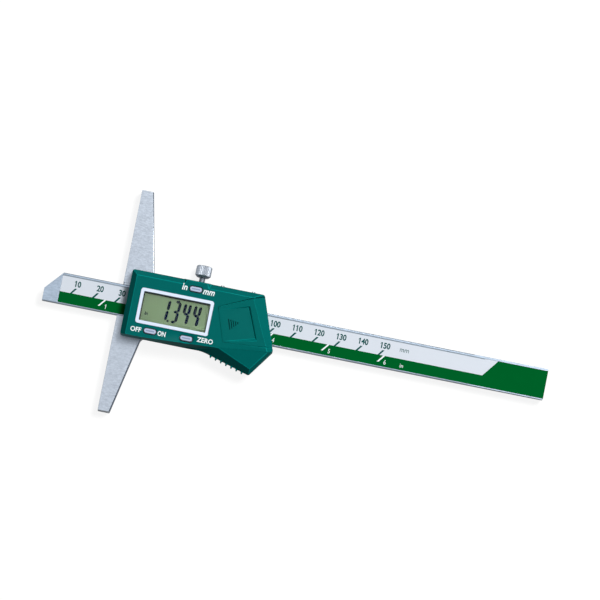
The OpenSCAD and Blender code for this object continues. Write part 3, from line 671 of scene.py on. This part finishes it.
def inkArrow():
    arrow = mergedCopy("battery_cover", "cover_arrow_ink")
    level = math.cos(math.radians(arrowShade["floorTilt"]))
    sloped = [face for face in arrow.data.polygons if abs(face.normal.z - level) < arrowShade["slack"]]
    floor = max(sloped, key=lambda face: face.area)
    direction = floor.normal.copy()
    height = floor.center.dot(direction)
    low, high = arrowShade["deeper"]
    for face in arrow.data.polygons:
        deep = (height - face.center.dot(direction)) / mm
        face.select = face.normal.dot(direction) > arrowShade["facing"] and low < deep < high
    bpy.ops.object.mode_set(mode="EDIT")
    bpy.ops.mesh.select_mode(type="FACE")
    bpy.ops.mesh.select_all(action="INVERT")
    bpy.ops.mesh.delete(type="FACE")
    bpy.ops.object.mode_set(mode="OBJECT")
    arrow.data.transform(Matrix.Translation(direction * arrowShade["lift"] * mm))
    thicken(arrow, arrowShade["film"])
    finishPiece(arrow, "battery_door", grooveShade)
    return len(arrow.data.polygons)


# Thread that shows on the neck of the lock screw

neckThread = {
    "turns": 8,
    "pitch": 0.45,
    "ridge": 0.16,           # height of the thread above the plain neck
    "root": 0.03,            # how far its foot reaches into the neck
    "foot": 0.2,             # half the width of its foot
    "perTurn": 24,
    "fadeSteps": 6,
    "start": 13.6,           # mm from the beam's centre line
}


def neckRadius():
    # widest distance from the axis among the neck's own points
    low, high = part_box("lock_screw")
    axis = Vector(((low.x + high.x) / 2, (low.z + high.z) / 2))
    neck = [Vector((v.co.x, v.co.z)) for v in nodes["lock_screw"].data.vertices
            if v.co.y < neckThread["start"] * mm]
    return max((point - axis).length for point in neck) / mm


def makeNeckThread():
    low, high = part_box("lock_screw")
    axisX, axisZ = (low.x + high.x) / 2 / mm, (low.z + high.z) / 2 / mm
    radius = neckRadius()
    root, foot = neckThread["root"], neckThread["foot"]
    count = neckThread["turns"] * neckThread["perTurn"]
    points, faces = [], []
    for step in range(count + 1):
        angle = step * math.tau / neckThread["perTurn"]
        fade = min(1, step / neckThread["fadeSteps"], (count - step) / neckThread["fadeSteps"])
        along = neckThread["start"] + step * neckThread["pitch"] / neckThread["perTurn"]
        for out, shift in ((-root, -foot), (neckThread["ridge"] * fade, 0), (-root, foot)):
            reach = radius + out
            points.append(((axisX + reach * math.cos(angle)) * mm, (along + shift) * mm,
                           (axisZ + reach * math.sin(angle)) * mm))
        if step:
            a, b = 3 * (step - 1), 3 * step
            faces += [(a, b, b + 1, a + 1), (a + 1, b + 1, b + 2, a + 2), (a, a + 2, b + 2, b)]
    faces += [(0, 1, 2), (3 * count + 2, 3 * count + 1, 3 * count)]
    thread = meshPiece("lock_screw_thread", points, faces)
    makeActive(thread)
    bpy.ops.object.mode_set(mode="EDIT")
    bpy.ops.mesh.select_all(action="SELECT")
    bpy.ops.mesh.normals_make_consistent(inside=False)
    bpy.ops.object.mode_set(mode="OBJECT")
    finishPiece(thread, "lock_knob", screwSteel)


makeNeckThread()
print("thread cut")


# Printed scale

scalePrint = {
    "ink": 0.012,            # mm, thickness of the print
    "bandTop": -1.55,        # upper edge of the green band
    "slant": ((165.2, -1.55), (171.05, 6.0)),  # where the white field ends
    "mmMarks": (15, 10.0),   # how many, and mm from one to the next
    "inchMarks": (6, 25.4),
    "mmShift": 2.15,         # each mark stands this far past its measure from the tip
    "inchShift": 2.35,
    "mmMark": (1.8, 2.4, 0.95),     # lean, rise and width of a millimetre mark
    "inchMark": (-2.45, -3.1, 0.8),
    "weight": 0.032,         # how much heavier than the plain font, in parts of its size
    "narrow": 0.84,
    "figureHeight": 2.5,
    "mmFigure": (2.45, 2.95),  # centre of a number past the foot of its mark
    "inchFigure": (0.75, -4.4),
    "inchHeight": 2.0,
    "inchLetters": (0.0, 0.82, 3),  # weight, width and lean of the inch numbers
    "rule": 0.32,            # width of the grey line along the upper edge, painted shade of the groove beside the label
    "units": ((129, 2.4, 1.45, "mm"), (129, -4.5, 1.75, "in")),  # middle, height and word
    "unitNarrow": 0.9,
    "sink": 0.002,
}

lettering = {
    "curveSteps": 4,
    "weld": 0.0002,          # mm: nearer points of print become one
    "dotFrom": 0.8,          # the dot of an i lies above this share of a capital
}

# in parts of the font's size
oneFlag = {"pitch": 0.5, "gap": 0.003, "reach": 0.13, "drop": 0.16, "width": 0.13}


def addText(words, centre, height, level, thickness, weight=0.0, capital=False, narrow=1.0,
            dotLift=0, lean=0):
    bpy.ops.object.text_add()
    text = bpy.context.object
    text.data.body = words
    text.data.size = 1
    text.data.offset = weight
    text.data.resolution_u = lettering["curveSteps"]
    bpy.ops.object.convert(target="MESH")
    text = bpy.context.object
    if "i" in words:
        for vertex in text.data.vertices:
            vertex.co.y += dotLift if vertex.co.y > lettering["dotFrom"] * capHeight else 0
    points = [v.co for v in text.data.vertices]
    low = Vector([min(p[k] for p in points) for k in range(3)])
    high = Vector([max(p[k] for p in points) for k in range(3)])
    size = height * mm / (capHeight if capital else high.y - low.y)
    middle = Vector(((low.x + high.x) / 2, capHeight / 2 if capital else (low.y + high.y) / 2, 0))
    if words.startswith("1"):
        text = flagOnes(text, len(words) - len(words.lstrip("1")), low.x, capHeight + weight)
    text.data.transform(Matrix.Translation((centre[0] * mm, centre[1] * mm, level * mm))
                        @ Matrix.Shear("XZ", 4, (math.tan(math.radians(lean)), 0))
                        @ Matrix.Diagonal((size * narrow, size, size, 1)) @ Matrix.Translation(-middle))
    thicken(text, thickness)
    return text


def flagOnes(text, count, left, top):
    # the plain font's 1 is a bare bar, and the scale's has a short flag
    points, faces = [], []
    near, far = oneFlag["gap"], oneFlag["reach"]
    drop, width = oneFlag["drop"], oneFlag["width"]
    for k in range(count):
        x = left + k * oneFlag["pitch"]
        points += [(x - near, top, 0), (x - far, top - drop, 0), (x - far, top - drop - width, 0),
                   (x - near, top - width, 0)]
        faces.append(tuple(range(4 * k, 4 * k + 4)))
    return joinPieces([text, meshPiece("flags", points, faces)], text.name)


def measureCapital():
    bpy.ops.object.text_add()
    letter = bpy.context.object
    letter.data.body = "H"
    letter.data.size = 1
    bpy.ops.object.convert(target="MESH")
    tops = [v.co.y for v in bpy.context.object.data.vertices]
    bpy.data.objects.remove(bpy.context.object)
    return max(tops) - min(tops)


def thicken(piece, thickness):
    # flat print gets its thickness upwards
    makeActive(piece)
    bpy.ops.object.mode_set(mode="EDIT")
    bpy.ops.mesh.select_all(action="SELECT")
    bpy.ops.mesh.remove_doubles(threshold=lettering["weld"] * mm)
    bpy.ops.mesh.extrude_region_move(TRANSFORM_OT_translate={"value": (0, 0, thickness * mm)})
    bpy.ops.mesh.select_all(action="SELECT")
    bpy.ops.mesh.normals_make_consistent(inside=False)
    bpy.ops.object.mode_set(mode="OBJECT")
    bpy.ops.object.shade_flat()


def addField(corners, level, thickness):
    # a flat field of print with four corners, lower left first, going round to the right
    bpy.ops.mesh.primitive_plane_add(size=1)
    field = bpy.context.object
    order = sorted(field.data.vertices, key=lambda v: (v.co.y, v.co.x))
    lowLeft, lowRight, highLeft, highRight = order
    for vertex, (x, y) in zip((lowLeft, lowRight, highRight, highLeft), corners):
        vertex.co = (x * mm, y * mm, level * mm)
    thicken(field, thickness)
    return field


def addMark(foot, lean, rise, width, level, thickness):
    x, y = foot
    half = width / 2
    corners = [(x - half, y), (x + half, y), (x + lean + half, y + rise), (x + lean - half, y + rise)]
    if rise < 0:
        corners.reverse()
    return addField(corners, level, thickness)


capHeight = measureCapital()


def makeScalePrint():
    low, high = (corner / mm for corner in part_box("scale_label"))
    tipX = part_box("beam")[0].x / mm
    top = high.z - scalePrint["sink"]
    ink = scalePrint["ink"]
    bandTop = scalePrint["bandTop"]
    (slantX, slantY), (slantEndX, slantEndY) = scalePrint["slant"]
    green = [
        addField([(low.x, low.y), (high.x, low.y), (high.x, bandTop), (low.x, bandTop)], top, ink),
        addField([(slantX, slantY), (high.x, slantY), (high.x, slantEndY), (slantEndX, slantEndY)], top, ink),
    ]
    figures, white = [], []
    lean, rise, width = scalePrint["mmMark"]
    count, pitch = scalePrint["mmMarks"]
    for n in range(1, count + 1):
        foot = (tipX + pitch * n + scalePrint["mmShift"], bandTop)
        figures.append(addMark(foot, lean, rise, width, top, ink))
        figures.append(addText(str(10 * n), (foot[0] + scalePrint["mmFigure"][0], scalePrint["mmFigure"][1]),
                               scalePrint["figureHeight"], top, ink, scalePrint["weight"], capital=True,
                               narrow=scalePrint["narrow"]))
    # white ink lies over the band's
    over = top + ink / 2
    lean, rise, width = scalePrint["inchMark"]
    weight, narrow, slope = scalePrint["inchLetters"]
    count, pitch = scalePrint["inchMarks"]
    for n in range(1, count + 1):
        foot = (tipX + pitch * n + scalePrint["inchShift"], bandTop)
        white.append(addMark(foot, lean, rise, width, over, ink))
        white.append(addText(str(n), (foot[0] + scalePrint["inchFigure"][0], scalePrint["inchFigure"][1]),
                             scalePrint["inchHeight"], over, ink, weight, capital=True,
                             narrow=narrow, lean=slope))
    for (x, y, height, word), parts, level in zip(scalePrint["units"], (figures, white), (top, over)):
        parts.append(addText(word, (x, y), height, level, ink, narrow=scalePrint["unitNarrow"]))
    # a grey line along the label's upper edge, painted as the shade of the groove there
    edge = high.y - scalePrint["rule"]
    rule = [addField([(low.x, edge), (slantX, edge), (slantX, high.y), (low.x, high.y)], top, ink)]
    for parts, name, material in ((green, "scale_band", bandInk), (figures, "scale_figures", figureInk),
                                  (white, "scale_inch_marks", whiteInk), (rule, "scale_rule", ruleInk)):
        finishPiece(joinPieces(parts, name), "depth_beam", material)


makeScalePrint()
print("scale printed")


# Words beside the buttons

caseWords = {
    "thickness": 0.03,
    "sink": 0.01,
    "dotLift": 0.07,         # the dot of an i stands this much higher, in parts of the font's size
    # words, x and y of the middle, height of a capital, width of the letters against the plain font,
    # weight, and how far they lean, in degrees
    "words": (("in", 27.55, 10.25, 2.7, 0.9, 0.02, 4), ("mm", 38.6, 10.0, 2.75, 0.85, 0.022, 12),
              ("OFF", 9.7, -12.75, 2.0, 0.94, 0.026, 0), ("ON", 21.4, -12.65, 2.05, 0.78, 0.026, 0),
              ("ZERO", 40.9, -11.85, 2.0, 0.95, 0.026, 0)),
}


def makeCaseWords():
    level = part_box("housing")[1].z / mm - caseWords["sink"]
    words = []
    for word, x, y, height, narrow, weight, lean in caseWords["words"]:
        words.append(addText(word, (x, y), height, level, caseWords["thickness"], weight, True, narrow,
                             caseWords["dotLift"], lean))
    finishPiece(joinPieces(words, "button_words"), "gauge_body", whiteInk)


makeCaseWords()
# the arrow's grooves are darkened with painted shade
print("words printed, faces of the arrow's ink:", inkArrow())


# Painted shadow in the gap round each key: a black ring on the flange, and a darker line along its cap as
# painted shade

keyDress = {
    "gap": (-0.62, -0.22),   # from the cap to the edge of the hole, against the flange's own outline
    "film": 0.02,
    "shadeStripe": (0.58, 0.2),   # length and width of the line of painted shade, in parts of the cap
    "rimReach": 0.05,        # mm from the flange's end, where its top is measured
    "roundSteps": 12,
    "bodies": {"unit_button": "unit_key", "power_button": "power_key", "zero_button": "zero_key"},
}


def outlineOf(low, high, grow, level):
    # a key's rounded outline, seen from above
    radius = (high.y - low.y) / 2
    half = (high.x - low.x) / 2 - radius
    middle = (low + high) / 2
    points = []
    for end in (1, -1):
        for step in range(keyDress["roundSteps"] + 1):
            angle = math.pi * (step / keyDress["roundSteps"] - 0.5)
            points.append((middle.x + end * (half + (radius + grow) * math.cos(angle)),
                           middle.y + end * (radius + grow) * math.sin(angle), level))
    return points


def addFlat(name, points, faces, thickness):
    flat = meshPiece(name, [[c * mm for c in point] for point in points], faces)
    thicken(flat, thickness)
    return flat


def dressKeys():
    film = keyDress["film"]
    for node, body in keyDress["bodies"].items():
        low, high = (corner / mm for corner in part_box(node))
        rimEnd = low.x + keyDress["rimReach"]
        rim = [v.co.z / mm for v in nodes[node].data.vertices if v.co.x / mm < rimEnd]
        inner, outer = (outlineOf(low, high, grow, max(rim)) for grow in keyDress["gap"])
        count = len(inner)
        faces = [(k, (k + 1) % count, count + (k + 1) % count, count + k) for k in range(count)]
        # a black ring on the flange between the cap and the hole: painted shadow in the gap
        finishPiece(addFlat(body + "_gap_shade", inner + outer, faces, film), body, blackResinAndShade)
        # a darker line along the middle of each cap: painted shade beside the lighter chamfered rim
        size, middle = high - low, (low + high) / 2
        reach = Vector((size.x * keyDress["shadeStripe"][0], size.y * keyDress["shadeStripe"][1], 0)) / 2
        line = outlineOf(middle - reach, middle + reach, 0, high.z - film / 2)
        shadeStripe = addFlat(body + "_line", line, [tuple(range(len(line)))], film)
        finishPiece(shadeStripe, body, keyShadeStripe)


dressKeys()
print("keys dressed")


# Plus sign struck into the cell's top

cellSign = {"height": 3.6, "film": 0.04, "weight": 0.03}


def signCell():
    low, high = (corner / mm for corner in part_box("battery"))
    middle = (low + high) / 2
    sign = addText("+", (middle.x, middle.y), cellSign["height"], high.z - cellSign["film"] / 2,
                   cellSign["film"], cellSign["weight"])
    finishPiece(sign, "gauge_body", screwSteel)
    sign.name = "cell_sign"


signCell()
print("cell signed")


# Painted shadow: a black border round the inside of the display, widest at the top and left, where the
# frame's lip casts shade

displayShadow = {
    "inset": (0.55, 0.25, 0.0, 0.68),  # left, right, bottom and top: how far it shows inside the frame
    "view": (10.1, 40.3, -8.4, 4.8),   # opening of the frame: left, right, bottom and top
    "outer": 0.5,            # how far it goes on under the frame
    "lift": 0.005,
    "film": 0.04,
}


def makeDisplayMask():
    left, right, bottom, top = displayShadow["view"]
    inset, outer = displayShadow["inset"], displayShadow["outer"]
    x0, x1, x2, x3 = left - outer, left + inset[0], right - inset[1], right + outer
    y0, y1, y2, y3 = bottom - outer, bottom + inset[2], top - inset[3], top + outer
    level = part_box("lcd_panel")[1].z / mm + displayShadow["lift"]
    strips = [addField([(a, c), (b, c), (b, d), (a, d)], level, displayShadow["film"])
              for a, b, c, d in ((x0, x1, y0, y3), (x2, x3, y0, y3), (x1, x2, y0, y1), (x1, x2, y2, y3))]
    finishPiece(joinPieces(strips, "display_shadow"), "gauge_body", blackResinAndShade)


makeDisplayMask()
print("display masked")


# Figures of the display

reading = {
    "digits": "1344",
    "pointAfter": 0,
    "height": 10.5,
    "width": 3.4,
    "pitch": 4.66,
    "stroke": 1.28,
    "gap": 0.05,
    "italic": 4.5,           # degrees
    "right": 36.2,           # foot of the last figure, in mm
    "foot": -6.85,
    "unitAt": (12.85, -4.6),
    "unitHeight": 1.6,
    "unitWeight": 0.03,
    "dotLift": 0.08,
    "pointShift": 0.55,
    "pointRadius": 0.5,
    "lift": 0.01,
    "film": 0.03,
}

# which of the seven strokes each figure lights: top, top right, low right, bottom, low left, top left, middle
strokesOf = {"1": (0, 1, 1, 0, 0, 0, 0), "3": (1, 1, 1, 1, 0, 0, 1), "4": (0, 1, 1, 0, 0, 1, 1)}


def addStroke(start, end, level):
    # a bar with pointed ends, from a plane whose end edges are drawn out to a point
    length = (end - start).length - 2 * reading["gap"]
    half = reading["stroke"] / 2
    bpy.ops.mesh.primitive_circle_add(vertices=6, radius=half, fill_type="NGON")
    bar = bpy.context.object
    for vertex in bar.data.vertices:
        side = math.copysign(1, vertex.co.y)
        if abs(vertex.co.x) < 1e-6:
            vertex.co = (0, side * length / 2, 0)
        else:
            vertex.co = (math.copysign(half, vertex.co.x), side * (length / 2 - half), 0)
    direction = end - start
    turn = Matrix.Rotation(math.atan2(-direction.x, direction.y), 4, "Z")
    middle = (start + end) / 2
    bar.data.transform(Matrix.Translation((middle.x, middle.y, level)) @ turn)
    return bar


def makeReading():
    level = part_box("lcd_panel")[1].z / mm + reading["lift"]
    height, width = reading["height"], reading["width"]
    inset = reading["stroke"] / 2
    x0, x1 = inset, width - inset
    y0, y1, y2 = inset, height / 2, height - inset
    corners = [((x0, y2), (x1, y2)), ((x1, y1), (x1, y2)), ((x1, y0), (x1, y1)), ((x0, y0), (x1, y0)),
               ((x0, y0), (x0, y1)), ((x0, y1), (x0, y2)), ((x0, y1), (x1, y1))]
    bars = []
    count = len(reading["digits"])
    for place, figure in enumerate(reading["digits"]):
        left = reading["right"] - width - (count - 1 - place) * reading["pitch"]
        shift = Vector((left, reading["foot"]))
        for lit, (a, b) in zip(strokesOf[figure], corners):
            if lit:
                bars.append(addStroke(shift + Vector(a), shift + Vector(b), level))
        if place == reading["pointAfter"]:
            spot = shift + Vector((width + reading["pointShift"], inset))
            bpy.ops.mesh.primitive_circle_add(vertices=16, radius=reading["pointRadius"],
                                              fill_type="NGON", location=(spot.x, spot.y, level))
            settle(bpy.context.object)
            bars.append(bpy.context.object)
    figures = joinPieces(bars, "display_reading")
    lean = math.tan(math.radians(reading["italic"]))
    for vertex in figures.data.vertices:
        vertex.co.x += lean * (vertex.co.y - reading["foot"])
        vertex.co *= mm
    thicken(figures, reading["film"])
    unit = addText("in", reading["unitAt"], reading["unitHeight"], level, reading["film"],
                   reading["unitWeight"], dotLift=reading["dotLift"])
    finishPiece(joinPieces([figures, unit], "display_reading"), "gauge_body", lcdInk)


makeReading()
print("display reads", reading["digits"])
